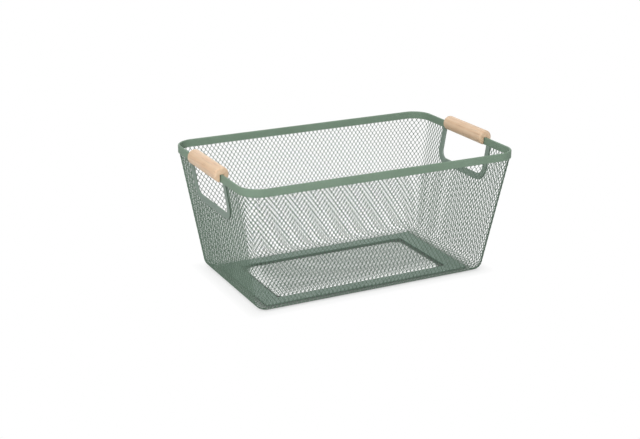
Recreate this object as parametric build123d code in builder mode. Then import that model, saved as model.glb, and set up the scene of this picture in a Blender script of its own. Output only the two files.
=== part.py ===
"""Open storage basket: expanded-metal walls and base, folded steel rim, two slotted wooden grips.

Millimetres. +X runs along the basket, +Z is up, and the origin is on the floor under its middle.
"""
import os
from math import cos, degrees, asin, radians, sin, sqrt

from build123d import *

# Overall sizes, measured over the grips
overall_length = 370.0
overall_width = 225.0
overall_height = 165.0

# Sheets, and the play left where one piece sits on or beside the next
mesh_thickness = 1.0
strip_thickness = 0.8
seam_gap = 0.1
fold_play = 0.05

# Grips: turned wood, slotted from below so that they sit over the rim
grip_diameter = 18.0
grip_length = 84.0
grip_end_ease = 2.2
grip_above_rim = 8.2

# Rim: a strip folded over the top edge of the walls
rim_height = 9.4
rim_corner_radius = 25.0
rim_fold_ease = 0.7
fold_thickness = mesh_thickness + 2 * fold_play + 2 * strip_thickness
rim_top = overall_height - grip_above_rim
rim_bottom = rim_top - rim_height
rim_middle = (overall_length - grip_diameter) / 2
rim_length = 2 * rim_middle + fold_thickness

# Walls: the sheet stands upright in the rim, leans in on its way down and rolls under at the floor
wall_lean = 24.0
lower_corner_radius = 15.0
corner_flats = 5
bend_radius = 13.0
bend_flats = 3
sheet_inset = strip_thickness + fold_play
wall_top_length = rim_length - 2 * sheet_inset
wall_top_width = overall_width - 2 * sheet_inset
wall_top_radius = rim_corner_radius - sheet_inset
wall_slope = sqrt(wall_lean ** 2 + rim_bottom ** 2)
lean_sine = wall_lean / wall_slope
lean_cosine = rim_bottom / wall_slope
base_length = wall_top_length - 2 * wall_lean
base_width = wall_top_width - 2 * wall_lean
tab_top = rim_top - strip_thickness - fold_play

# The bend at the foot of the walls, down to the line where it lies flat
bend_setback = bend_radius * (1 - lean_sine) / lean_cosine
bend_run = bend_radius * lean_cosine
bend_top = bend_radius * (1 - lean_sine)
floor_length = base_length - 2 * bend_setback
floor_width = base_width - 2 * bend_setback
floor_corner_radius = lower_corner_radius - bend_run
bend_sweep = 90 - degrees(asin(lean_sine))

# Openings of the expanded metal, drawn coarser than the real ones so that they stay countable
opening_pitch_across = 20.0
opening_pitch_up = 27.8
strand_width = 3.4
mesh_border = 1.5

# Hand holes in the end walls, edged with a folded strip
hand_hole_width = 90.6
hand_hole_bottom = 110.0
hand_hole_radius = 10.0
trim_width = 8.0

# Base: the walls' flange and a mesh panel lie side by side, and a flat steel frame covers their seam
end_flange = 21.0
side_flange = 15.6
panel_gap = 0.3
panel_length = floor_length - 2 * end_flange - 2 * panel_gap
panel_width = floor_width - 2 * side_flange - 2 * panel_gap
frame_thickness = 1.5
frame_margin = 5.0
frame_lap = 4.7
frame_corner_radius = 3.0

# Quarter turns from the right-hand end, seen from above
right_turn = 0
back_turn = 90
left_turn = 180
front_turn = 270


def outwards_at(turn):
    """Level direction that points out of one side of the basket."""
    return Vector(cos(radians(turn)), sin(radians(turn)), 0)


def up_slope(height):
    """Distance up a leaning wall, from where the bend ends, to a height above the floor."""
    return (height - bend_top) / lean_cosine


def wall_face(turn, base_span):
    """Plane on the outer face of a leaning wall, with its origin at the bend and y up the slope."""
    normal = outwards_at(turn) * lean_cosine - Vector(0, 0, lean_sine)
    slope = outwards_at(turn) * lean_sine + Vector(0, 0, lean_cosine)
    reach = base_span / 2 - bend_setback + bend_run
    return Plane(outwards_at(turn) * reach + Vector(0, 0, bend_top), x_dir=slope.cross(normal), z_dir=normal)


def upright_edge(turn, top_span):
    """Cross-section of the strip of sheet that turns upright and stands inside the rim."""
    top = top_span / 2
    inner_fold = mesh_thickness * (1 - lean_cosine) / lean_sine
    across = outwards_at(turn)
    with BuildSketch(Plane((0, 0, 0), x_dir=across, z_dir=across.cross(Vector(0, 0, 1)))) as section:
        with BuildLine():
            Polyline(
                (top, rim_bottom),
                (top, tab_top),
                (top - mesh_thickness, tab_top),
                (top - mesh_thickness, rim_bottom + inner_fold),
                close=True,
            )
        make_face()
    return section.sketch


def diamond(across=0, level=0):
    """Edge of one opening: a rhombus of the lattice, drawn in by half a strand on each side."""
    half_across = opening_pitch_across / 2
    half_up = opening_pitch_up / 2
    inner_radius = half_across * half_up / sqrt(half_across ** 2 + half_up ** 2)
    kept = (inner_radius - strand_width / 2) / inner_radius
    return Wire.make_polygon([
        (across + half_across * kept, level),
        (across, level + half_up * kept),
        (across - half_across * kept, level),
        (across, level - half_up * kept),
    ])


def diamond_centres(height, foot_span, head_span, hole_span=0, hole_foot=0):
    """Staggered places for the openings that stay whole on a face, clear of a hand hole."""
    half_across = opening_pitch_across / 2
    half_up = opening_pitch_up / 2
    rows = int((height - 2 * mesh_border - opening_pitch_up) / half_up) + 1
    centres = []
    for row in range(rows):
        level = (height - (rows - 1) * half_up) / 2 + row * half_up
        narrowest = foot_span + (head_span - foot_span) * (level - half_up) / height
        room = narrowest / 2 - mesh_border - half_across
        shift = half_across * (row % 2)
        columns = int(max(foot_span, head_span) / opening_pitch_across)
        for place in range(-columns, columns + 1):
            across = place * opening_pitch_across + shift
            beside_hole = abs(across) > hole_span / 2 + half_across
            below_hole = level < hole_foot - half_up
            if abs(across) <= room and (not hole_span or beside_hole or below_hole):
                centres.append((across, level))
    return centres


def hand_hole(grow):
    """Outline of a hand hole on an end wall, larger all round by grow and open past the rim."""
    low = up_slope(hand_hole_bottom) - grow
    high = up_slope(rim_top) + rim_height
    with BuildSketch() as outline:
        with Locations((0, (low + high) / 2)):
            Rectangle(hand_hole_width + 2 * grow, high - low)
        fillet(outline.vertices().group_by(Axis.Y)[0], hand_hole_radius + grow)
    return outline.sketch


def wall_net(base_span, foot_span, head_span, with_hand_hole=False):
    """One wall as a holed face: a tapering outline, notched where a hand hole is, and its diamonds."""
    height = up_slope(rim_bottom)
    foot_half = foot_span / 2 - seam_gap
    head_half = head_span / 2 - seam_gap
    hole_span = hole_foot = 0
    with BuildSketch() as outline:
        with BuildLine():
            Polyline((-foot_half, 0), (foot_half, 0), (head_half, height), (-head_half, height), close=True)
        make_face()
        if with_hand_hole:
            add(hand_hole(strip_thickness + fold_play), mode=Mode.SUBTRACT)
            hole_span = hand_hole_width + 2 * trim_width
            hole_foot = up_slope(hand_hole_bottom) - trim_width
    places = diamond_centres(height, foot_span, head_span, hole_span, hole_foot)
    return Face(outline.face().outer_wire(), [diamond(across, level) for across, level in places])


def corner_section(height, centre_x, centre_y, radius):
    """Section of one wall corner at one height: a quarter turn in narrow flats, as thick as the mesh."""
    angles = [radians(90 * step / corner_flats) for step in range(corner_flats + 1)]
    inner_radius = radius - mesh_thickness
    outer_side = [(radius * cos(angle), radius * sin(angle)) for angle in angles]
    inner_side = [(inner_radius * cos(angle), inner_radius * sin(angle)) for angle in reversed(angles)]
    with BuildSketch(Plane((centre_x, centre_y, height))) as section:
        with BuildLine():
            Polyline(*outer_side, *inner_side, close=True)
        make_face()
    return section.sketch


# Straight runs between the corners, at the foot of the walls and under the rim
end_foot_span = floor_width - 2 * floor_corner_radius
end_head_span = wall_top_width - 2 * wall_top_radius
side_foot_span = floor_length - 2 * floor_corner_radius
side_head_span = wall_top_length - 2 * wall_top_radius
foot_centre_x = side_foot_span / 2
foot_centre_y = end_foot_span / 2
past_sheet = 2 * fold_thickness

# Rim: the folded strip, a channel open downwards that holds the upright edge of the walls
with BuildPart() as rim_channel:
    with BuildSketch(Plane.XY.offset(rim_bottom)):
        RectangleRounded(rim_length, overall_width, rim_corner_radius)
        RectangleRounded(
            rim_length - 2 * fold_thickness,
            overall_width - 2 * fold_thickness,
            rim_corner_radius - fold_thickness,
            mode=Mode.SUBTRACT,
        )
    extrude(amount=rim_height)
    chamfer(rim_channel.faces().sort_by(Axis.Z)[-1].edges(), rim_fold_ease)
    inner_leg = fold_thickness - strip_thickness
    with BuildSketch(Plane.XY.offset(rim_bottom)):
        RectangleRounded(
            rim_length - 2 * strip_thickness,
            overall_width - 2 * strip_thickness,
            rim_corner_radius - strip_thickness,
        )
        RectangleRounded(
            rim_length - 2 * inner_leg,
            overall_width - 2 * inner_leg,
            rim_corner_radius - inner_leg,
            mode=Mode.SUBTRACT,
        )
    extrude(amount=rim_height - strip_thickness, mode=Mode.SUBTRACT)

# Nets of the four walls, each a holed face on its wall's leaning plane
side_net = wall_net(base_width, side_foot_span, side_head_span)
end_net = wall_net(base_length, end_foot_span, end_head_span, with_hand_hole=True)
front_net = wall_face(front_turn, base_width) * side_net
back_net = wall_face(back_turn, base_width) * side_net
left_net = wall_face(left_turn, base_length) * end_net
right_net = wall_face(right_turn, base_length) * end_net

# Long walls: expanded sheet, its upper edge standing in the rim
with BuildPart() as front_wall_mesh:
    extrude(upright_edge(front_turn, wall_top_width), amount=side_head_span / 2 - seam_gap, both=True)
    extrude(front_net, amount=-mesh_thickness)

with BuildPart() as back_wall_mesh:
    extrude(upright_edge(back_turn, wall_top_width), amount=side_head_span / 2 - seam_gap, both=True)
    extrude(back_net, amount=-mesh_thickness)

# End walls: the same sheet, with a hand hole cut out up to the rim
with BuildPart() as left_end_mesh:
    extrude(upright_edge(left_turn, wall_top_length), amount=end_head_span / 2 - seam_gap, both=True)
    with BuildSketch(wall_face(left_turn, base_length)):
        add(hand_hole(strip_thickness + fold_play))
    extrude(amount=past_sheet, both=True, mode=Mode.SUBTRACT)
    extrude(left_net, amount=-mesh_thickness)

with BuildPart() as right_end_mesh:
    extrude(upright_edge(right_turn, wall_top_length), amount=end_head_span / 2 - seam_gap, both=True)
    with BuildSketch(wall_face(right_turn, base_length)):
        add(hand_hole(strip_thickness + fold_play))
    extrude(amount=past_sheet, both=True, mode=Mode.SUBTRACT)
    extrude(right_net, amount=-mesh_thickness)

# Corners: the sheet bends round between the walls, wider at the rim than at the foot. Narrow flats
# stand for the smooth bend, and the edge that stands in the rim is round.
corner_foot = bend_top + mesh_thickness * lean_sine + fold_play
head_centre_x = side_head_span / 2
head_centre_y = end_head_span / 2
with BuildPart() as back_right_corner_mesh:
    foot_section = corner_section(corner_foot, foot_centre_x, foot_centre_y, lower_corner_radius)
    head_section = corner_section(rim_bottom, head_centre_x, head_centre_y, wall_top_radius)
    loft([foot_section, head_section], ruled=True)
    with BuildSketch(Plane((head_centre_x, head_centre_y, rim_bottom))):
        Circle(wall_top_radius)
        Circle(wall_top_radius - mesh_thickness, mode=Mode.SUBTRACT)
        Rectangle(wall_top_radius, wall_top_radius, align=(Align.MIN, Align.MIN), mode=Mode.INTERSECT)
    extrude(amount=tab_top - rim_bottom)
    diagonal = Vector(1, 1, 0).normalized()
    foot_point = Vector(foot_centre_x, foot_centre_y, corner_foot) + diagonal * lower_corner_radius
    head_point = Vector(head_centre_x, head_centre_y, rim_bottom) + diagonal * wall_top_radius
    edge = head_point - foot_point
    level_way = Vector(-1, 1, 0).normalized()
    corner_face = Plane(foot_point, x_dir=level_way, z_dir=level_way.cross(edge))
    rows = int((edge.length - 2 * mesh_border) / opening_pitch_up)
    with BuildSketch(corner_face):
        with Locations((0, edge.length / 2)):
            with GridLocations(0, opening_pitch_up, 1, rows):
                add(Face(diamond()))
    extrude(amount=lower_corner_radius / 2, both=True, mode=Mode.SUBTRACT)

with BuildPart() as back_left_corner_mesh:
    mirror(back_right_corner_mesh.part, about=Plane.YZ)

with BuildPart() as front_right_corner_mesh:
    mirror(back_right_corner_mesh.part, about=Plane.XZ)

with BuildPart() as front_left_corner_mesh:
    mirror(back_left_corner_mesh.part, about=Plane.XZ)

def bend_outline(angle, radius):
    """Level outline of the bend, on its outside or inside, at one angle up from the floor."""
    corner_radius = floor_corner_radius + radius * sin(radians(angle))
    corners = ((0, foot_centre_x, foot_centre_y), (90, -foot_centre_x, foot_centre_y))
    corners += ((180, -foot_centre_x, -foot_centre_y), (270, foot_centre_x, -foot_centre_y))
    points = []
    for first_angle, centre_x, centre_y in corners:
        for step in range(corner_flats + 1):
            way = radians(first_angle + 90 * step / corner_flats)
            points.append((centre_x + corner_radius * cos(way), centre_y + corner_radius * sin(way)))
    with BuildSketch(Plane.XY.offset(bend_radius - radius * cos(radians(angle)))) as outline:
        with BuildLine():
            Polyline(*points, close=True)
        make_face()
    return outline.sketch


def opening_row(places, width, height):
    """A row of openings side by side, without the sheet between them."""
    with BuildSketch() as row:
        with GridLocations(opening_pitch_across, 0, places, 1):
            add(Face(Wire.make_polygon([(width / 2, 0), (0, height / 2), (-width / 2, 0), (0, -height / 2)])))
    return row.sketch


# Foot of the walls: the sheet rolls under in narrow flats that stand for the smooth bend, and lies flat
# on the floor as a flange, with openings in both
bend_angles = [bend_sweep * step / bend_flats for step in range(bend_flats + 1)]
sheet_inside = bend_radius - mesh_thickness
middle_of_bend = radians(bend_sweep / 2)
opening_width = opening_pitch_across - strand_width
bend_opening = 2 * bend_radius * sin(middle_of_bend) - strand_width
with BuildPart() as foot_bend_mesh:
    outside = [bend_outline(angle, bend_radius) for angle in bend_angles]
    inside = [bend_outline(angle, sheet_inside) for angle in bend_angles]
    loft(outside + inside[-1:], ruled=True)
    loft(inside, ruled=True, mode=Mode.SUBTRACT)
    with BuildSketch():
        Rectangle(panel_length + 2 * panel_gap, panel_width + 2 * panel_gap)
    extrude(amount=mesh_thickness, mode=Mode.SUBTRACT)
    for turn, bend_span, span, flange in (
        (front_turn, floor_width, side_foot_span, side_flange),
        (back_turn, floor_width, side_foot_span, side_flange),
        (left_turn, floor_length, end_foot_span, end_flange),
        (right_turn, floor_length, end_foot_span, end_flange),
    ):
        places = int((span - strand_width) / opening_pitch_across)
        outwards = outwards_at(turn)
        normal = outwards * sin(middle_of_bend) - Vector(0, 0, cos(middle_of_bend))
        bend_middle = outwards * bend_span / 2 + Vector(0, 0, bend_radius) + normal * bend_radius
        level_way = Vector(0, 0, 1).cross(outwards)
        with BuildSketch(Plane(bend_middle, x_dir=level_way, z_dir=normal)):
            add(opening_row(places, opening_width, bend_opening))
        extrude(amount=-bend_radius / 2, mode=Mode.SUBTRACT)
        flange_middle = outwards * (bend_span - flange) / 2
        with BuildSketch(Plane(flange_middle, x_dir=level_way, z_dir=(0, 0, 1))):
            add(opening_row(places - 1, opening_width, flange - strand_width))
        extrude(amount=mesh_thickness, mode=Mode.SUBTRACT)

# Base panel: a flat net that fills the opening inside the flange
with BuildSketch() as panel_outline:
    Rectangle(panel_length, panel_width, align=(Align.CENTER, Align.MIN))
places = diamond_centres(panel_width, panel_length, panel_length)
panel_net = Face(panel_outline.face().outer_wire(), [diamond(across, level) for across, level in places])
panel_net = Pos(0, -panel_width / 2) * panel_net
with BuildPart() as base_panel_mesh:
    extrude(panel_net, amount=mesh_thickness)

# Base frame: flat steel inside the basket, on the flange and on the edge of the panel
with BuildPart() as base_frame:
    with BuildSketch(Plane.XY.offset(mesh_thickness)):
        RectangleRounded(floor_length - 2 * frame_margin, floor_width - 2 * frame_margin, frame_corner_radius)
        Rectangle(panel_length - 2 * frame_lap, panel_width - 2 * frame_lap, mode=Mode.SUBTRACT)
    extrude(amount=frame_thickness)


def hand_hole_trim(turn):
    """Folded strip round one hand hole: a channel that holds the cut edge of the sheet."""
    outer_face = sheet_inset
    inner_face = mesh_thickness + sheet_inset
    face = wall_face(turn, base_length)
    with BuildPart() as trim:
        with BuildSketch(face.offset(outer_face)):
            add(hand_hole(trim_width))
            add(hand_hole(0), mode=Mode.SUBTRACT)
        extrude(amount=-(outer_face + inner_face))
        with BuildSketch(face.offset(fold_play)):
            add(hand_hole(trim_width + seam_gap))
            add(hand_hole(strip_thickness), mode=Mode.SUBTRACT)
        extrude(amount=-(mesh_thickness + 2 * fold_play), mode=Mode.SUBTRACT)
        split(bisect_by=Plane.XY.offset(rim_bottom - seam_gap), keep=Keep.BOTTOM)
    return trim.part


# Hand-hole trims
with BuildPart() as left_hand_hole_trim:
    add(hand_hole_trim(left_turn))

with BuildPart() as right_hand_hole_trim:
    add(hand_hole_trim(right_turn))


def grip(middle):
    """One wooden grip: a turned bar with eased ends and a slot that drops over the rim."""
    half_length = grip_length / 2
    grip_radius = grip_diameter / 2
    with BuildPart() as bar:
        with BuildSketch(Plane.XY.offset(overall_height - grip_radius)):
            with BuildLine():
                Polyline(
                    (middle, half_length),
                    (middle + grip_radius - grip_end_ease, half_length),
                    (middle + grip_radius, half_length - grip_end_ease),
                    (middle + grip_radius, 0),
                    (middle, 0),
                    close=True,
                )
            make_face()
            mirror(about=Plane.XZ)
        revolve(axis=Axis((middle, 0, overall_height - grip_radius), (0, 1, 0)))
        slot_height = grip_diameter - grip_above_rim + seam_gap
        with BuildSketch(Plane.XY.offset(overall_height - grip_diameter)):
            with Locations((middle, 0)):
                Rectangle(fold_thickness + 2 * seam_gap, grip_length)
        extrude(amount=slot_height, mode=Mode.SUBTRACT)
    return bar.part


# Grips
with BuildPart() as left_grip:
    add(grip(-rim_middle))

with BuildPart() as right_grip:
    add(grip(rim_middle))

os.makedirs("parts", exist_ok=True)
pieces = {
    "rim_channel": rim_channel,
    "front_wall_mesh": front_wall_mesh,
    "back_wall_mesh": back_wall_mesh,
    "left_end_mesh": left_end_mesh,
    "right_end_mesh": right_end_mesh,
    "front_left_corner_mesh": front_left_corner_mesh,
    "front_right_corner_mesh": front_right_corner_mesh,
    "back_left_corner_mesh": back_left_corner_mesh,
    "back_right_corner_mesh": back_right_corner_mesh,
    "foot_bend_mesh": foot_bend_mesh,
    "base_panel_mesh": base_panel_mesh,
    "base_frame": base_frame,
    "left_hand_hole_trim": left_hand_hole_trim,
    "right_hand_hole_trim": right_hand_hole_trim,
    "left_grip": left_grip,
    "right_grip": right_grip,
}
for name, piece in pieces.items():
    piece.part.label = name
    export_step(piece.part, "parts/" + name + ".step")
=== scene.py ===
from math import asin, cos, hypot, pi, radians, sin

import bmesh
import bpy
from mathutils import Matrix, Vector


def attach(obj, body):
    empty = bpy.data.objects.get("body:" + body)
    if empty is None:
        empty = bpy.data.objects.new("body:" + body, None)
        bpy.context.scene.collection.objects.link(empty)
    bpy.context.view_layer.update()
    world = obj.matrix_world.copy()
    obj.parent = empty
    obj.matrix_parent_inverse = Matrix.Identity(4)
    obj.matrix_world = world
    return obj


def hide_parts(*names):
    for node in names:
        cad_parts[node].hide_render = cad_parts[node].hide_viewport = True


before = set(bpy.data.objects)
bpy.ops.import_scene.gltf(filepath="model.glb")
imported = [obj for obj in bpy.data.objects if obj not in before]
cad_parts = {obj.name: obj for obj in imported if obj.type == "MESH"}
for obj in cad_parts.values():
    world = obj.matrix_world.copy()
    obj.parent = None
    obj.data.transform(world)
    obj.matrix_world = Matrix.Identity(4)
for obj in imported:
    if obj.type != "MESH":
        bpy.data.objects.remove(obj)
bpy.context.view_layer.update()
root = "root"
mm = 0.001


# Wall sheet. One length of raised expanded steel, slit and pulled open into upright diamonds, wrapped round
# the four sides and closed by a weld. It leans in towards the floor, rolls under there and ends in a level
# flange. Sage-green powder coat, as on all the steel.

# The mesh: its strands, its openings, and how many columns and rows of them each part of the sheet has.
strand_width = 0.62 * mm
strand_thickness = 0.47 * mm
strand_tilt = radians(30)
bond_length = 1.4 * mm
opening_across = 5.4 * mm
opening_up = 7.5 * mm
row_rise = opening_up / 2
strand_weld = 0.02 * mm
sheet_weld = 0.005 * mm
long_columns, end_columns, corner_columns = 54, 30, 6
half_round = long_columns + end_columns + 2 * corner_columns
flange_rows, bend_rows, wall_rows = 6, 5, 38

# How it is bent: the lean, the roll at the foot, and the corners' centres and radii at foot and head.
wall_lean = 24.0 * mm
rim_bottom = 147.4 * mm
rim_overlap = 2.8 * mm
lean_angle = asin(wall_lean / hypot(wall_lean, rim_bottom))
sheet_half = 0.5 * mm
bend_radius = 13.0 * mm
middle_radius = bend_radius - sheet_half
bend_sweep = pi / 2 - lean_angle
bend_rise = middle_radius * bend_sweep
bend_top = bend_radius * (1 - sin(lean_angle))
wall_rise = rim_bottom - bend_top
slope_length = wall_rise / cos(lean_angle)
foot_centre = Vector((139.28, 74.43)) * mm
head_centre = Vector((152.35, 87.50)) * mm
floor_radius = 2.17 * mm
foot_radius = floor_radius + middle_radius * sin(bend_sweep)
head_radius = 23.65 * mm
flange_flattening = 0.33

# The hand holes, one in the middle of each end.
hand_hole_half = 45.3 * mm
hand_hole_bottom = 110.0 * mm
hand_hole_radius = 10.0 * mm
hole_cut_back = 3.0 * mm


def as_seen(red, green, blue):
    """Colour as a screen shows it, 0 to 255, in the linear values that a shader takes."""
    return [((part / 255 + 0.055) / 1.055) ** 2.4 for part in (red, green, blue)] + [1.0]


def new_surface(name):
    """A new material, with its node tree, its shader and the object's own coordinates."""
    material = bpy.data.materials.new(name)
    material.use_nodes = True
    tree = material.node_tree
    place = tree.nodes.new("ShaderNodeTexCoord").outputs["Object"]
    return material, tree, tree.nodes["Principled BSDF"], place


def noise(tree, place, scale, detail):
    """A cloudy pattern of this fineness."""
    node = tree.nodes.new("ShaderNodeTexNoise")
    node.inputs["Scale"].default_value = scale
    node.inputs["Detail"].default_value = detail
    tree.links.new(place, node.inputs["Vector"])
    return node.outputs["Fac"]


def spread(tree, value, low, high, start=0.0, end=1.0, run="LINEAR"):
    """Spreads a value over low to high while it runs from start to end."""
    node = tree.nodes.new("ShaderNodeMapRange")
    node.interpolation_type = run
    for socket, number in (("From Min", start), ("From Max", end), ("To Min", low), ("To Max", high)):
        node.inputs[socket].default_value = number
    tree.links.new(value, node.inputs["Value"])
    return node.outputs["Result"]


def toned(tree, value, *stops):
    """Runs through colours along a value, from (place, colour) stops in order."""
    ramp = tree.nodes.new("ShaderNodeValToRGB")
    elements = ramp.color_ramp.elements
    for place, colour in stops[1:-1]:
        elements.new(place).color = colour
    for end in (0, -1):
        elements[end].position, elements[end].color = stops[end]
    tree.links.new(value, ramp.inputs["Fac"])
    return ramp.outputs["Color"]


def coloured(tree, shader, colour, factor):
    """Gives a surface a colour, made lighter or darker by a factor."""
    node = tree.nodes.new("ShaderNodeVectorMath")
    node.operation = "SCALE"
    tree.links.new(colour, node.inputs[0])
    tree.links.new(factor, node.inputs["Scale"])
    tree.links.new(node.outputs["Vector"], shader.inputs["Base Color"])


def raised(tree, shader, height, strength, depth):
    """Gives a surface a fine relief."""
    node = tree.nodes.new("ShaderNodeBump")
    node.inputs["Strength"].default_value = strength
    node.inputs["Distance"].default_value = depth
    tree.links.new(height, node.inputs["Height"])
    tree.links.new(node.outputs["Normal"], shader.inputs["Normal"])


def powder_coat(name, shade, tint, roughness, gloss):
    """Baked powder coat: a fine pebbled skin, a drift of shade where it lies thicker, and a dull sheen."""
    material, tree, shader, place = new_surface(name)
    drift = noise(tree, place, scale=28.0, detail=4.0)
    tones = toned(tree, drift, (0.32, as_seen(*tint)), (0.68, as_seen(*shade)))
    speck = noise(tree, place, scale=1400.0, detail=3.0)
    flecks = spread(tree, speck, low=0.93, high=1.04, start=0.35, end=0.65)
    coloured(tree, shader, tones, flecks)
    dull = spread(tree, speck, low=roughness - 0.08, high=roughness + 0.08)
    tree.links.new(dull, shader.inputs["Roughness"])
    shader.inputs["Specular IOR Level"].default_value = gloss
    raised(tree, shader, speck, strength=0.25, depth=0.08 * mm)
    return material


def finished(name, bm, material, node, smooth_below=35):
    """Turns a bmesh into a piece that rides on the basket and stands for a node."""
    mesh = bpy.data.meshes.new(name)
    for face in bm.faces:
        face.smooth = True
    bm.to_mesh(mesh)
    bm.free()
    mesh.set_sharp_from_angle(angle=radians(smooth_below))
    mesh.materials.append(material)
    piece = bpy.data.objects.new(name, mesh)
    bpy.context.scene.collection.objects.link(piece)
    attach(piece, root)
    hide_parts(node)
    return piece


def verts_of(parts):
    """The vertices among the parts of a mesh."""
    return [part for part in parts if isinstance(part, bmesh.types.BMVert)]


def repeated(bm, count, step):
    """Copies all that bm holds to count places."""
    first = bm.verts[:] + bm.edges[:] + bm.faces[:]
    for place in range(1, count):
        copy = bmesh.ops.duplicate(bm, geom=first)["geom"]
        bmesh.ops.translate(bm, vec=step(place), verts=verts_of(copy))
    bmesh.ops.translate(bm, vec=step(0), verts=verts_of(first))


def expanded_sheet(columns, rows, first_column=0, first_row=0):
    """A flat raised mesh: tilted bonds on a staggered lattice, and the two strands that rise from each."""
    sheet = bmesh.new()
    bmesh.ops.create_grid(sheet, x_segments=2, y_segments=1, size=1)
    bmesh.ops.scale(sheet, vec=(strand_width, bond_length / 2, 1), verts=sheet.verts)
    bmesh.ops.translate(sheet, vec=(0, 0, -strand_thickness / 2), verts=sheet.verts)
    bmesh.ops.rotate(sheet, matrix=Matrix.Rotation(strand_tilt, 3, "Y"), verts=sheet.verts)
    # The bond is two strands wide. Its upper edge is drawn out into one strand to each side.
    across = opening_across / 2 - strand_width * cos(strand_tilt)
    up = row_rise - bond_length
    deeper = strand_width * sin(strand_tilt)
    upper = [edge for edge in sheet.edges if min(vert.co.y for vert in edge.verts) > 0]
    ends = [vert.co.x for edge in upper for vert in edge.verts]
    middle = sum(ends) / len(ends)
    for edge in upper:
        side = 1 if (edge.verts[0].co.x + edge.verts[1].co.x) / 2 > middle else -1
        strand = bmesh.ops.extrude_edge_only(sheet, edges=[edge])["geom"]
        bmesh.ops.translate(sheet, vec=(side * across, up, side * deeper), verts=verts_of(strand))
    repeated(sheet, columns, lambda column: (column * opening_across, 0, 0))
    repeated(sheet, rows, lambda row: (opening_across / 2 * ((first_row + row) % 2), row * row_rise, 0))
    start = (first_column * opening_across, first_row * row_rise, 0)
    bmesh.ops.translate(sheet, vec=start, verts=sheet.verts)
    bmesh.ops.remove_doubles(sheet, verts=sheet.verts, dist=strand_weld)
    return sheet


def on_wall_sheet(flat):
    """Where a point of the flat sheet lies once bent: x goes round the basket, and y up from the foot."""
    climbed = max(flat.y - bend_rise, 0) / slope_length
    turned = min(max(flat.y, 0) / middle_radius, bend_sweep)
    centre = foot_centre.lerp(head_centre, climbed)
    leaned_out = (head_radius - foot_radius) * climbed
    reach = floor_radius + middle_radius * sin(turned) + min(flat.y, 0) + leaned_out
    height = bend_radius - middle_radius * cos(turned) + wall_rise * climbed
    # The front and the right are worked out, and the back and the left are the same turned half round.
    side, column = divmod(flat.x / opening_across % (2 * half_round), half_round)
    if column < long_columns:
        middle = Vector((centre.x * (2 * column / long_columns - 1), -centre.y))
        outwards = Vector((0, -1))
    elif column < long_columns + corner_columns:
        angle = (column - long_columns) / corner_columns * pi / 2
        middle = Vector((centre.x, -centre.y))
        outwards = Vector((sin(angle), -cos(angle)))
    elif column < half_round - corner_columns:
        past = column - long_columns - corner_columns
        middle = Vector((centre.x, centre.y * (2 * past / end_columns - 1)))
        outwards = Vector((1, 0))
    else:
        angle = (column - half_round + corner_columns) / corner_columns * pi / 2
        middle = centre
        outwards = Vector((cos(angle), sin(angle)))
    depth = flat.z * (flange_flattening + (1 - flange_flattening) * turned / bend_sweep)
    level = (middle + outwards * (reach + depth * sin(turned))) * (1 - 2 * side)
    return Vector((level.x, level.y, height - depth * cos(turned)))


def cut_away(flat):
    """True where the sheet is cut off: at a hand hole, inside the rim, or past a mitre of its flange."""
    point = on_wall_sheet(flat)
    over = max(abs(point.y) - hand_hole_half + hand_hole_radius, 0)
    under = max(hand_hole_bottom + hand_hole_radius - point.z, 0)
    in_hand_hole = abs(point.x) > head_centre.x and hypot(over, under) < hand_hole_radius + hole_cut_back
    column = flat.x / opening_across % half_round
    on_long = column < long_columns
    on_end = long_columns + corner_columns < column < half_round - corner_columns
    inwards = -floor_radius - flat.y
    past_mitre = inwards > 0 and (
        (on_long and foot_centre.x - abs(point.x) < inwards)
        or (on_end and foot_centre.y - abs(point.y) < inwards)
        or not (on_long or on_end)
    )
    return in_hand_hole or past_mitre or point.z > rim_bottom + rim_overlap


def bent_wall(name, node, first_column, columns, first_row, rows):
    """One part of the wall sheet, from the place of its first opening and how many it has each way."""
    bm = expanded_sheet(columns, rows, first_column, first_row)
    away = [face for face in bm.faces if cut_away(face.calc_center_median())]
    bmesh.ops.delete(bm, geom=away, context="FACES")
    for vert in bm.verts:
        vert.co = on_wall_sheet(vert.co)
    bmesh.ops.remove_doubles(bm, verts=bm.verts, dist=sheet_weld)
    bmesh.ops.recalc_face_normals(bm, faces=bm.faces)
    bmesh.ops.solidify(bm, geom=bm.faces[:], thickness=strand_thickness)
    finished(name, bm, wall_paint_with_painted_shade, node, smooth_below=25)


# Painted shade: the wall's coat is a darker copy of the one paint, for the shade among the strands.
wall_paint_with_painted_shade = powder_coat(
    "wall powder coat with painted shade", shade=(117, 137, 122), tint=(107, 127, 112), roughness=0.66, gloss=0.12,
)
first_end = long_columns + corner_columns
first_corner = half_round - corner_columns
for name, node, first_column, columns in (
    ("front_wall_sheet", "front_wall_mesh", 0, long_columns),
    ("back_wall_sheet", "back_wall_mesh", half_round, long_columns),
    ("right_end_sheet", "right_end_mesh", first_end, end_columns),
    ("left_end_sheet", "left_end_mesh", half_round + first_end, end_columns),
    ("front_right_corner_sheet", "front_right_corner_mesh", long_columns, corner_columns),
    ("back_right_corner_sheet", "back_right_corner_mesh", first_corner, corner_columns),
    ("back_left_corner_sheet", "back_left_corner_mesh", half_round + long_columns, corner_columns),
    ("front_left_corner_sheet", "front_left_corner_mesh", half_round + first_corner, corner_columns),
):
    bent_wall(name, node, first_column, columns, bend_rows, wall_rows)
bent_wall("foot_bend_sheet", "foot_bend_mesh", 0, 2 * half_round, -flange_rows, flange_rows + bend_rows)


# Base panel. A flat piece of the same expanded steel, its diamonds running from front to back, laid level
# with the flange and welded under the base frame.
panel_half = Vector((120.15, 60.7)) * mm
panel_columns, panel_rows = 44, 32
panel_height = 0.66 * mm


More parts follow.
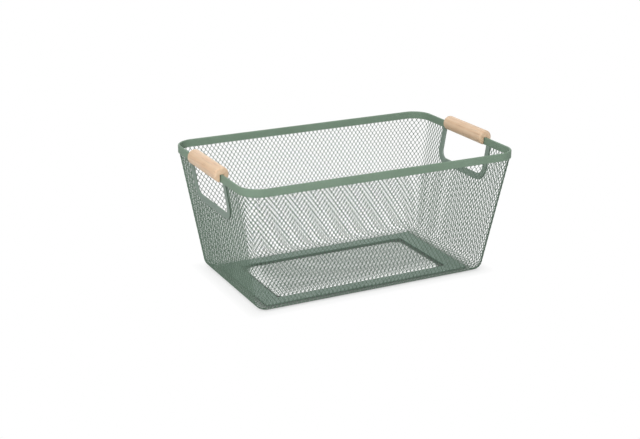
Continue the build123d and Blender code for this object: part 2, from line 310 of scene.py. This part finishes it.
def on_base(flat):
    """Where a point of the flat sheet lies in the base, pressed flat as the flange is."""
    across = (flat.x / opening_across + 0.5) / (panel_columns + 0.5) * 2 - 1
    along = (flat.y + bond_length / 2) / (panel_rows * row_rise) * 2 - 1
    return Vector((panel_half.x * across, panel_half.y * along, panel_height + flat.z * flange_flattening))


panel = expanded_sheet(panel_columns, panel_rows)
for vert in panel.verts:
    vert.co = on_base(vert.co)
bmesh.ops.recalc_face_normals(panel, faces=panel.faces)
bmesh.ops.solidify(panel, geom=panel.faces[:], thickness=strand_thickness)
# Painted shade: the base mesh's coat is darker still, for the shade on the floor of the basket.
base_paint_with_painted_shade = powder_coat(
    "base mesh powder coat with painted shade", shade=(112, 131, 118), tint=(103, 122, 109), roughness=0.66, gloss=0.12,
)
finished("base_panel_sheet", panel, base_paint_with_painted_shade, "base_panel_mesh", smooth_below=25)


# Base frame. A flat ring of steel inside the basket, on the flange and on the edge of the base panel, which
# hides their seam and is spot welded to both. Its edges are eased under the paint.
frame_outer = Vector((136.45, 71.6)) * mm
frame_inner = Vector((115.45, 56.0)) * mm
frame_under = 1.0 * mm
frame_thickness = 1.5 * mm
frame_corner = 3.0 * mm
frame_ease = 0.35 * mm


def rounded_outline(bm, half, radius):
    """Adds the edges of a level rectangle with rounded corners."""
    made = bmesh.ops.create_grid(bm, x_segments=1, y_segments=1, size=1, calc_uvs=False)["verts"]
    bmesh.ops.scale(bm, vec=(half.x, half.y, 1), verts=made)
    bmesh.ops.bevel(
        bm, geom=made, offset=radius, offset_type="OFFSET", affect="VERTICES", segments=6, profile=0.5,
        material=-1,
    )


def eased(piece, width, segments, above):
    """Softens the edges of a piece that turn by more than so many degrees."""
    edges = piece.modifiers.new("eased edges", "BEVEL")
    edges.width = width
    edges.segments = segments
    edges.limit_method = "ANGLE"
    edges.angle_limit = radians(above)


ring = bmesh.new()
rounded_outline(ring, frame_outer, frame_corner)
rounded_outline(ring, frame_inner, frame_corner)
bmesh.ops.delete(ring, geom=ring.faces[:], context="FACES_ONLY")
bmesh.ops.bridge_loops(ring, edges=ring.edges[:])
bmesh.ops.translate(ring, vec=(0, 0, frame_under), verts=ring.verts)
upper = bmesh.ops.extrude_face_region(ring, geom=ring.faces[:], use_keep_orig=True)["geom"]
bmesh.ops.translate(ring, vec=(0, 0, frame_thickness), verts=verts_of(upper))
bmesh.ops.recalc_face_normals(ring, faces=ring.faces)
frame_paint = powder_coat(
    "frame powder coat", shade=(131, 150, 139), tint=(125, 144, 133), roughness=0.55, gloss=0.2,
)
base_ring = finished("base_ring", ring, frame_paint, "base_frame")
eased(base_ring, frame_ease, segments=2, above=30)


# Hand-hole edgings. A strip of thin steel folded double over the cut edge of each hand hole, from the rim
# down one side, round under the hole and up the other, so that no cut strand can scratch a hand.
strip_thickness = 0.8 * mm
strip_ease = 0.2 * mm
fold_thickness = 2.7 * mm
edging_width = 8.0 * mm
edging_gap = 0.1 * mm
same_place = 0.01 * mm


def faces_of(parts):
    """The faces among the parts of a mesh."""
    return [part for part in parts if isinstance(part, bmesh.types.BMFace)]


def level_edges(parts):
    """The edges among the parts of a mesh that lie level."""
    edges = [part for part in parts if isinstance(part, bmesh.types.BMEdge)]
    return [edge for edge in edges if abs(edge.verts[0].co.z - edge.verts[1].co.z) < same_place]


def folded_section(bm, leg):
    """Section of a strip folded double: the fold at the origin, and two legs that hang down in z."""
    half = fold_thickness / 2
    corner = bmesh.ops.create_vert(bm, co=(half, 0, -leg))["vert"]
    edge = bmesh.ops.extrude_vert_indiv(bm, verts=corner)
    bmesh.ops.translate(bm, vec=(-strip_thickness, 0, 0), verts=edge["verts"])
    made = bmesh.ops.extrude_edge_only(bm, edges=edge["edges"])["geom"]
    bmesh.ops.translate(bm, vec=(0, 0, leg - half), verts=verts_of(made))
    made = bmesh.ops.spin(
        bm, geom=level_edges(made), cent=(0, 0, -half), axis=(0, 1, 0), angle=-pi, steps=10,
        use_merge=False,
    )["geom_last"]
    made = bmesh.ops.extrude_edge_only(bm, edges=level_edges(made))["geom"]
    bmesh.ops.translate(bm, vec=(0, 0, half - leg), verts=verts_of(made))
    return bm.faces[:]


def straight_on(bm, section, step):
    """Carries a section straight on, and gives it at the far end."""
    made = bmesh.ops.extrude_face_region(bm, geom=section)["geom"]
    bmesh.ops.translate(bm, vec=step, verts=verts_of(made))
    bmesh.ops.delete(bm, geom=section, context="FACES")
    return faces_of(made)


def round_corner(bm, section, centre, angle, steps):
    """Carries a section round an upright axis, and gives it at the far end."""
    made = bmesh.ops.spin(
        bm, geom=section, cent=centre, axis=(0, 0, 1), angle=angle, steps=steps, use_merge=False,
    )["geom_last"]
    bmesh.ops.delete(bm, geom=section, context="FACES")
    return faces_of(made)


def mirrored(bm, axis):
    """Doubles a shape across one of its own middle planes, where its ends are opened and welded."""
    number = "XYZ".index(axis)
    ends = [face for face in bm.faces if all(abs(vert.co[number]) < same_place for vert in face.verts)]
    bmesh.ops.delete(bm, geom=ends, context="FACES")
    parts = bm.verts[:] + bm.edges[:] + bm.faces[:]
    bmesh.ops.mirror(bm, geom=parts, matrix=Matrix.Identity(4), merge_dist=same_place, axis=axis)


def folded_strip(name, bm, paint, node):
    """A finished strip, its cut edges softened as the powder coat does where it draws back from them."""
    bmesh.ops.recalc_face_normals(bm, faces=bm.faces)
    eased(finished(name, bm, paint, node), strip_ease, segments=2, above=50)


def hole_edging(name, node, end):
    """The edging of one hand hole, in the right-hand end wall for end 1 and the left-hand for end -1."""
    bm = bmesh.new()
    section = folded_section(bm, edging_width)
    # In the wall's plane, with the fold towards the hole: x runs from front to back, and y up the wall.
    fold_to_hole = Matrix(((0, 0, -1), (0, 1, 0), (1, 0, 0)))
    bmesh.ops.transform(bm, matrix=fold_to_hole, verts=bm.verts)
    low = (hand_hole_bottom - bend_top) / cos(lean_angle)
    high = (rim_bottom + strip_thickness - bend_top) / cos(lean_angle)
    bmesh.ops.translate(bm, vec=(hand_hole_half, high, 0), verts=bm.verts)
    section = straight_on(bm, section, (0, low + hand_hole_radius - high, 0))
    corner = (hand_hole_half - hand_hole_radius, low + hand_hole_radius, 0)
    section = round_corner(bm, section, corner, -pi / 2, steps=14)
    straight_on(bm, section, (hand_hole_radius - hand_hole_half, 0, 0))
    mirrored(bm, "X")
    # From the wall's plane to its place on the basket, where the wall rises out of the bend.
    slope = Vector((sin(lean_angle), 0, cos(lean_angle)))
    normal = Vector((cos(lean_angle), 0, -sin(lean_angle)))
    place = Matrix((Vector((0, 1, 0)), slope, normal)).transposed().to_4x4()
    place.translation = Vector((foot_centre.x + foot_radius, 0, bend_top + sheet_half * sin(lean_angle)))
    turn = Matrix.Rotation(0 if end > 0 else pi, 4, "Z")
    bmesh.ops.transform(bm, matrix=turn @ place, verts=bm.verts)
    parts = bm.verts[:] + bm.edges[:] + bm.faces[:]
    top = Vector((0, 0, rim_bottom - edging_gap))
    bmesh.ops.bisect_plane(bm, geom=parts, plane_co=top, plane_no=(0, 0, 1), clear_outer=True)
    bmesh.ops.holes_fill(bm, edges=[edge for edge in bm.edges if edge.is_boundary], sides=0)
    folded_strip(name, bm, edging_paint, node)


edging_paint = powder_coat(
    "edging powder coat", shade=(138, 154, 143), tint=(132, 148, 137), roughness=0.55, gloss=0.2,
)
hole_edging("left_hole_edging", "left_hand_hole_trim", -1)
hole_edging("right_hole_edging", "right_hand_hole_trim", 1)


# Rim. A longer strip of the same steel, folded double over the top edge of the sheet all the way round and
# pinched on to it, with large rounded corners that follow those of the walls.
rim_top = 156.8 * mm
rim_middle = head_centre.x + head_radius

rim = bmesh.new()
section = folded_section(rim, rim_top - rim_bottom)
bmesh.ops.translate(rim, vec=(rim_middle, 0, rim_top), verts=rim.verts)
section = straight_on(rim, section, (0, head_centre.y, 0))
section = round_corner(rim, section, head_centre.to_3d(), pi / 2, steps=18)
straight_on(rim, section, (-head_centre.x, 0, 0))
mirrored(rim, "Y")
mirrored(rim, "X")
rim_paint = powder_coat(
    "rim powder coat", shade=(130, 152, 133), tint=(124, 146, 127), roughness=0.55, gloss=0.2,
)
folded_strip("rim_strip", rim, rim_paint, "rim_channel")


# Grips. Two turned bars of pale beech with rounded ends, each sawn along its underside so that it drops
# over the rim above a hand hole, where it is glued. Bare wood, sanded and lightly oiled.
grip_length = 84.0 * mm
grip_radius = 9.0 * mm
grip_rounding = 2.6 * mm
grip_top = 165.0 * mm
slot_half = 2.6 * mm
sanded_edge = 0.35 * mm


def mixed(tree, first, second, share):
    """Two patterns in one, with this share of the second."""
    node = tree.nodes.new("ShaderNodeMix")
    node.inputs["Factor"].default_value = share
    tree.links.new(first, node.inputs["A"])
    tree.links.new(second, node.inputs["B"])
    return node.outputs["Result"]


def beech():
    """Pale beech: soft rings and fibres along the bar, faint clouds, and the darker flecks of its rays."""
    material, tree, shader, place = new_surface("beech")
    along = tree.nodes.new("ShaderNodeMapping")
    along.inputs["Scale"].default_value = (1.0, 0.05, 1.0)
    tree.links.new(place, along.inputs["Vector"])
    drawn_out = along.outputs["Vector"]
    rings = tree.nodes.new("ShaderNodeTexWave")
    rings.wave_type = "RINGS"
    rings.rings_direction = "Y"
    for socket, number in (("Scale", 62.0), ("Distortion", 3.5), ("Detail", 3.0), ("Detail Scale", 1.4)):
        rings.inputs[socket].default_value = number
    tree.links.new(drawn_out, rings.inputs["Vector"])
    fibre = noise(tree, drawn_out, scale=620.0, detail=5.0)
    grain = mixed(tree, rings.outputs["Fac"], fibre, share=0.68)
    clouds = noise(tree, place, scale=70.0, detail=2.0)
    tones = toned(
        tree, mixed(tree, grain, clouds, share=0.4),
        (0.34, as_seen(227, 191, 156)), (0.5, as_seen(232, 200, 167)), (0.68, as_seen(237, 209, 179)),
    )
    rays = noise(tree, drawn_out, scale=900.0, detail=2.0)
    flecks = spread(tree, rays, low=1.0, high=0.84, start=0.56, end=0.68)
    coloured(tree, shader, tones, flecks)
    dull = spread(tree, fibre, low=0.48, high=0.66)
    tree.links.new(dull, shader.inputs["Roughness"])
    raised(tree, shader, grain, strength=0.3, depth=0.1 * mm)
    return material


def wooden_grip(name, node, end):
    """One grip, on the right-hand end for end 1 and on the left-hand one for end -1."""
    bar = bmesh.new()
    bmesh.ops.create_cone(
        bar, cap_ends=True, segments=64, radius1=grip_radius, radius2=grip_radius, depth=grip_length,
    )
    bmesh.ops.bevel(
        bar, geom=level_edges(bar.edges), offset=grip_rounding, affect="EDGES", segments=8, profile=0.5,
        material=-1,
    )
    bmesh.ops.rotate(bar, matrix=Matrix.Rotation(pi / 2, 3, "X"), verts=bar.verts)
    bmesh.ops.translate(bar, vec=(end * rim_middle, 0, grip_top - grip_radius), verts=bar.verts)
    bmesh.ops.recalc_face_normals(bar, faces=bar.faces)
    grip = finished(name, bar, grip_wood, node)
    # The slot is sawn from below, up to the top of the rim.
    blade = bmesh.new()
    bmesh.ops.create_cube(blade, size=1)
    bmesh.ops.scale(blade, vec=(2 * slot_half, 2 * grip_length, 2 * grip_radius), verts=blade.verts)
    bmesh.ops.translate(blade, vec=(end * rim_middle, 0, rim_top - grip_radius), verts=blade.verts)
    saw = bpy.data.objects.new("saw", bpy.data.meshes.new("saw"))
    bpy.context.scene.collection.objects.link(saw)
    blade.to_mesh(saw.data)
    blade.free()
    slot = grip.modifiers.new("slot", "BOOLEAN")
    slot.object = saw
    slot.operation = "DIFFERENCE"
    eased(grip, sanded_edge, segments=3, above=50)
    graph = bpy.context.evaluated_depsgraph_get()
    cut = bpy.data.meshes.new_from_object(grip.evaluated_get(graph))
    grip.modifiers.clear()
    grip.data = cut
    for polygon in cut.polygons:
        polygon.use_smooth = True
    cut.set_sharp_from_angle(angle=radians(35))
    bpy.data.objects.remove(saw)


grip_wood = beech()
wooden_grip("left_wooden_grip", "left_grip", -1)
wooden_grip("right_wooden_grip", "right_grip", 1)


# Floor and light. A white floor that runs out of sight under a white sky, with painted shadow and painted
# light on it near the basket, large soft lamps round the basket and above it, and the camera at the
# photograph's place.
basket_middle = Vector((0, 0, 80)) * mm
floor_half = 40.0
floor_drop = 0.3 * mm
white = (1, 1, 1, 1)
sky_light = 0.26


def worked_out(tree, operation, *values):
    """The result of one sum on sockets and plain numbers."""
    node = tree.nodes.new("ShaderNodeMath")
    node.operation = operation
    for socket, value in zip(node.inputs, values):
        if isinstance(value, float):
            socket.default_value = value
        else:
            tree.links.new(value, socket)
    return node.outputs["Value"]


def seen_directly(tree):
    """1 for what the camera, a reflection or clear glass sees, and 0 for what only lights the object."""
    path = tree.nodes.new("ShaderNodeLightPath").outputs
    without_glass = worked_out(tree, "MAXIMUM", path["Is Camera Ray"], path["Is Glossy Ray"])
    return worked_out(tree, "MAXIMUM", without_glass, path["Is Transmission Ray"])


world = bpy.data.worlds.new("white room")
bpy.context.scene.world = world
world.use_nodes = True
sky_tree = world.node_tree
sky = sky_tree.nodes["Background"]
sky.inputs["Color"].default_value = white
strength = spread(sky_tree, seen_directly(sky_tree), low=sky_light, high=1.0)
sky_tree.links.new(strength, sky.inputs["Strength"])

floor_mesh = bmesh.new()
bmesh.ops.create_grid(floor_mesh, x_segments=1, y_segments=1, size=floor_half)
bmesh.ops.translate(floor_mesh, vec=(0, 0, -floor_drop), verts=floor_mesh.verts)
floor = bpy.data.objects.new("floor", bpy.data.meshes.new("floor"))
floor_mesh.to_mesh(floor.data)
floor_mesh.free()
bpy.context.scene.collection.objects.link(floor)

# Seen directly, the floor is white far off. Near the basket its glow and its colour are painted shadow:
# dark under the foot and the frame, and grey inside the frame, where painted light makes it lighter along
# the front and the left. Its own glow and its painted shade for the lamps run through (place, value) stops,
# where 0 is the frame's inner edge and 1 the fold at the foot. To all other rays the floor is plain white
# and doesn't glow.
painted_shadow_glow_stops = (-0.22, 0.38), (-0.14, 0.02), (0.4, 0.02), (0.9, 0.15), (1.2, 0.5), (2.0, 1.0)
painted_shadow_colour_stops = (-0.22, 0.55), (-0.14, 0.15), (0.4, 0.15), (0.9, 0.25), (1.2, 0.5), (2.0, 0.0)
painted_light_inside_stops = (-0.22, 1.0), (-0.14, 0.0)
nearest, farthest = -1.0, 9.0
foot_width = foot_centre + Vector((floor_radius, floor_radius)) - frame_inner
# Painted light: the floor inside the frame is made lighter towards the front and the left over this run.
painted_light_from = frame_inner - Vector((32.0, 32.0)) * mm
painted_light_over = Vector((28.0, 28.0)) * mm
painted_light_by = 0.36
floor_colour = (0.8, 0.8, 0.8, 1)
floor_with_painted_shadow, floor_tree, floor_shader, floor_place = new_surface("floor with painted shadow")
floor_shader.inputs["Roughness"].default_value = 0.9
floor_shader.inputs["Specular IOR Level"].default_value = 0.0
floor_shader.inputs["Emission Color"].default_value = white


def past_edge(place, edge, width, way):
    """How far x and y lie past an edge, in widths: right and back for way 1, left and front for way -1."""
    node = floor_tree.nodes.new("ShaderNodeVectorMath")
    node.operation = "MULTIPLY_ADD"
    node.inputs[1].default_value = (way / width.x, way / width.y, 0)
    node.inputs[2].default_value = (-edge.x / width.x, -edge.y / width.y, 0)
    floor_tree.links.new(place, node.inputs[0])
    sides = floor_tree.nodes.new("ShaderNodeSeparateXYZ")
    floor_tree.links.new(node.outputs["Vector"], sides.inputs[0])
    return sides.outputs["X"], sides.outputs["Y"]


any_side = floor_tree.nodes.new("ShaderNodeVectorMath")
any_side.operation = "ABSOLUTE"
floor_tree.links.new(floor_place, any_side.inputs[0])
past_frame = past_edge(any_side.outputs["Vector"], frame_inner, foot_width, way=1)
distance = worked_out(floor_tree, "SMOOTH_MAX", *past_frame, 0.9)
share = spread(floor_tree, distance, low=0.0, high=1.0, start=nearest, end=farthest)


def by_distance(stops):
    """Runs through values along the distance from the frame's inner edge."""
    greys = []
    for place, value in stops:
        greys.append(((place - nearest) / (farthest - nearest), (value, value, value, 1)))
    return toned(floor_tree, share, *greys)


# Painted light along the front and the left inside the frame, added to the glow of the painted shadow.
painted_light_reach = past_edge(floor_place, painted_light_from, painted_light_over, way=-1)
lighter = worked_out(floor_tree, "MAXIMUM", *painted_light_reach)
painted_light = spread(floor_tree, lighter, low=0.0, high=painted_light_by, run="SMOOTHSTEP")
glow_with_painted_light_and_shadow = worked_out(
    floor_tree, "MULTIPLY_ADD", painted_light, by_distance(painted_light_inside_stops), by_distance(painted_shadow_glow_stops),
)
seen = seen_directly(floor_tree)
painted_floor_glow = worked_out(floor_tree, "MULTIPLY", glow_with_painted_light_and_shadow, seen)
floor_tree.links.new(painted_floor_glow, floor_shader.inputs["Emission Strength"])
# The floor's colour seen directly, darkened under the foot and the frame as painted shadow.
shade = floor_tree.nodes.new("ShaderNodeMix")
shade.data_type = "RGBA"
shade.inputs["A"].default_value = floor_colour
floor_tree.links.new(seen, shade.inputs["Factor"])
floor_tree.links.new(by_distance(painted_shadow_colour_stops), shade.inputs["B"])
floor_tree.links.new(shade.outputs["Result"], floor_shader.inputs["Base Color"])
floor.data.materials.append(floor_with_painted_shadow)


def soft_lamp(name, place, size, power):
    """A large square lamp that faces the basket."""
    lamp = bpy.data.lights.new(name, "AREA")
    lamp.size = size
    lamp.energy = power
    stand = bpy.data.objects.new(name, lamp)
    stand.location = place
    stand.rotation_euler = (basket_middle - Vector(place)).to_track_quat("-Z", "Y").to_euler()
    bpy.context.scene.collection.objects.link(stand)


soft_lamp("key lamp", place=(-1.05, -1.2, 1.3), size=1.2, power=25.0)
soft_lamp("fill lamp", place=(1.1, -1.6, 1.0), size=1.4, power=3.5)
soft_lamp("top lamp", place=(0.0, 0.2, 2.4), size=2.2, power=11.0)
soft_lamp("back lamp", place=(0.7, 1.9, 1.0), size=1.6, power=12.0)

# The camera stands in front, a little to the left and above, where the printed sizes and the rim put it.
azimuth, elevation, roll = radians(-27.01), radians(19.23), radians(0.19)
away, aside, above = 1510.38 * mm, -28.32 * mm, -15.82 * mm
focal_pixels, image_width = 1234.18, 640
film_width = 36.0
back = Vector((sin(azimuth) * cos(elevation), -cos(azimuth) * cos(elevation), sin(elevation)))
level = Vector((cos(azimuth), sin(azimuth), 0))
upright = back.cross(level)
rightwards = level * cos(roll) + upright * sin(roll)
upwards = upright * cos(roll) - level * sin(roll)
aim = Matrix((rightwards, upwards, back)).transposed().to_4x4()
aim.translation = basket_middle + back * away + rightwards * aside + upwards * above
camera = bpy.data.objects.new("camera", bpy.data.cameras.new("camera"))
bpy.context.scene.collection.objects.link(camera)
camera.matrix_world = aim
camera.data.sensor_width = film_width
camera.data.lens = focal_pixels / image_width * film_width
camera.data.clip_start = 10 * mm
bpy.context.scene.camera = camera
bpy.context.scene.view_settings.view_transform = "Standard"
